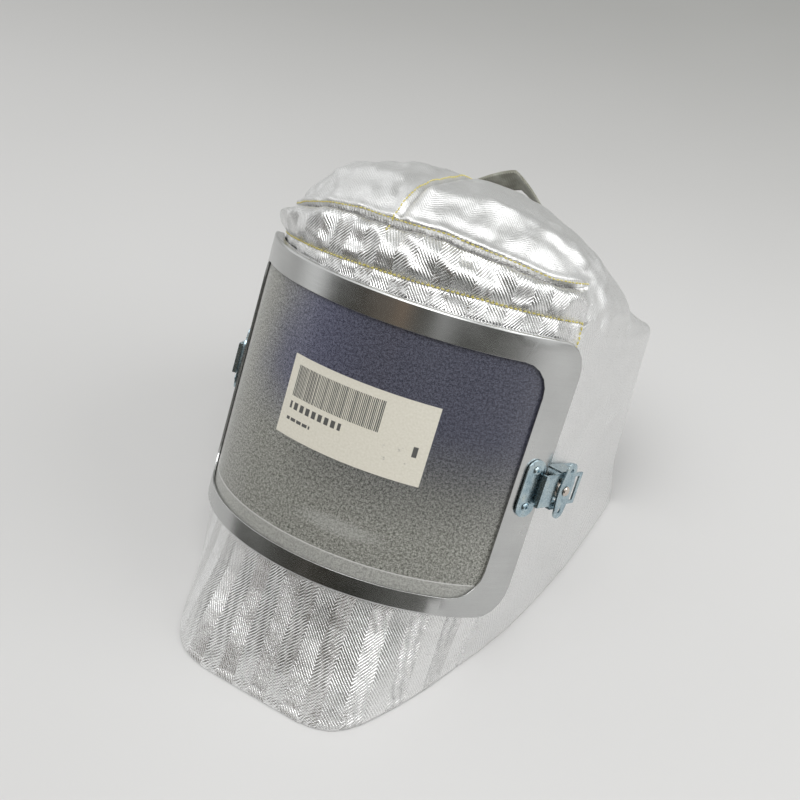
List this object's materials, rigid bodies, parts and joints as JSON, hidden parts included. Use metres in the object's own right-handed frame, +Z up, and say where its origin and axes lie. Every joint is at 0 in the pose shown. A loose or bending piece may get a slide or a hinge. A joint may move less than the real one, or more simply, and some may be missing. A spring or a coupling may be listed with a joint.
{
  "type": "face shield",
  "caption": "Heat-reflecting cloth hood with a curved clear window in a metal frame, released by two side draw latches, and an adjustable head suspension inside.",
  "frame": {"origin": "middle of the footprint, on the surface that the hood stands on", "axes": "+Z up, -Y the way the window faces, +X to the right of someone who looks at the window; left and right in the node names are as they see them"},
  "size_m": [0.2586, 0.3484, 0.2674],
  "materials": {
    "aluminised_cloth": "metallised woven face with a fine herringbone",
    "satin_aluminium": "satin",
    "zinc_plate": "blue zinc plated",
    "nickel": "nickel plated",
    "lens": "glossy sheet with a speckled grey film inside",
    "black_rubber": "matt",
    "label_paper": "matt printed",
    "webbing": "woven tape",
    "black_plastic": "moulded",
    "knob_plastic": "moulded, ribbed grip",
    "sweat_foam": "brushed cloth over foam"
  },
  "bodies": {
    "hood": {"hood_shell": "aluminised_cloth", "hem_binding": "aluminised_cloth", "crown_left": "aluminised_cloth", "crown_right": "aluminised_cloth", "forehead_panel": "aluminised_cloth", "back_loop": "webbing", "rear_frame": "satin_aluminium", "lens_gasket": "black_rubber", "lens": "lens", "label": "label_paper", "front_frame": "satin_aluminium", "keeper_left": "zinc_plate", "keeper_right": "zinc_plate", "keeper_rivet_left_upper": "zinc_plate", "keeper_rivet_left_lower": "zinc_plate", "keeper_rivet_right_upper": "zinc_plate", "keeper_rivet_right_lower": "zinc_plate", "latch_base_left": "zinc_plate", "latch_base_right": "zinc_plate", "latch_rivet_left_upper": "zinc_plate", "latch_rivet_left_lower": "zinc_plate", "latch_rivet_right_upper": "zinc_plate", "latch_rivet_right_lower": "zinc_plate", "latch_pivot_left": "nickel", "latch_pivot_right": "nickel", "hanger_left": "satin_aluminium", "hanger_right": "satin_aluminium", "hanger_rivet_left_upper": "satin_aluminium", "hanger_rivet_left_lower": "satin_aluminium", "hanger_rivet_right_upper": "satin_aluminium", "hanger_rivet_right_lower": "satin_aluminium", "hanger_bolt_left": "nickel", "hanger_bolt_right": "nickel"},
    "left_wing": {"latch_wing_left": "zinc_plate", "latch_hub_left": "nickel"},
    "right_wing": {"latch_wing_right": "zinc_plate", "latch_hub_right": "nickel"},
    "left_hook": {"latch_hook_left": "zinc_plate"},
    "right_hook": {"latch_hook_right": "zinc_plate"},
    "headgear": {"headband": "black_plastic", "sweatband": "sweat_foam", "crown_strap": "webbing", "ratchet_housing": "black_plastic"},
    "knob": {"ratchet_knob": "knob_plastic", "ratchet_pinion": "knob_plastic"},
    "left_band_end": {"band_end_left": "black_plastic"},
    "right_band_end": {"band_end_right": "black_plastic"}
  },
  "joints": [
    {"name": "left_wing_turn", "type": "hinge", "parent": "hood", "child": "left_wing", "pos_m": [-0.1139, 0.00325, 0.10542], "axis": [-0.9751, -0.1899, 0.1141], "range_deg": [0, 180]},
    {"name": "right_wing_turn", "type": "hinge", "parent": "hood", "child": "right_wing", "pos_m": [0.1139, 0.00325, 0.10542], "axis": [0.9751, -0.1899, 0.1141], "range_deg": [0, 180]},
    {"name": "left_hook_slide", "type": "slide", "parent": "hood", "child": "left_hook", "axis": [0.2215, -0.8359, 0.5022], "range_m": [0, 0.00801]},
    {"name": "right_hook_slide", "type": "slide", "parent": "hood", "child": "right_hook", "axis": [-0.2215, -0.8359, 0.5022], "range_m": [0, 0.00801]},
    {"name": "headgear_tilt", "type": "hinge", "parent": "hood", "child": "headgear", "pos_m": [0, 0.07332, 0.13296], "axis": [1, 0, 0], "range_deg": [-8, 12]},
    {"name": "knob_turn", "type": "hinge", "parent": "headgear", "child": "knob", "pos_m": [0, 0.15218, 0.08558], "axis": [0, 0.8572, -0.515], "range_deg": [0, 114.5]},
    {"name": "left_band_slide", "type": "slide", "parent": "headgear", "child": "left_band_end", "axis": [1, 0, 0], "range_m": [0, 0.00801]},
    {"name": "right_band_slide", "type": "slide", "parent": "headgear", "child": "right_band_end", "axis": [-1, 0, 0], "range_m": [0, 0.00801]}
  ],
  "couplings": [
    {"joint": "left_hook_slide", "follows": "left_wing_turn", "m_per_rad": 0.002546},
    {"joint": "right_hook_slide", "follows": "right_wing_turn", "m_per_rad": 0.002546},
    {"joint": "left_band_slide", "follows": "knob_turn", "m_per_rad": 0.004},
    {"joint": "right_band_slide", "follows": "knob_turn", "m_per_rad": 0.004}
  ]
}
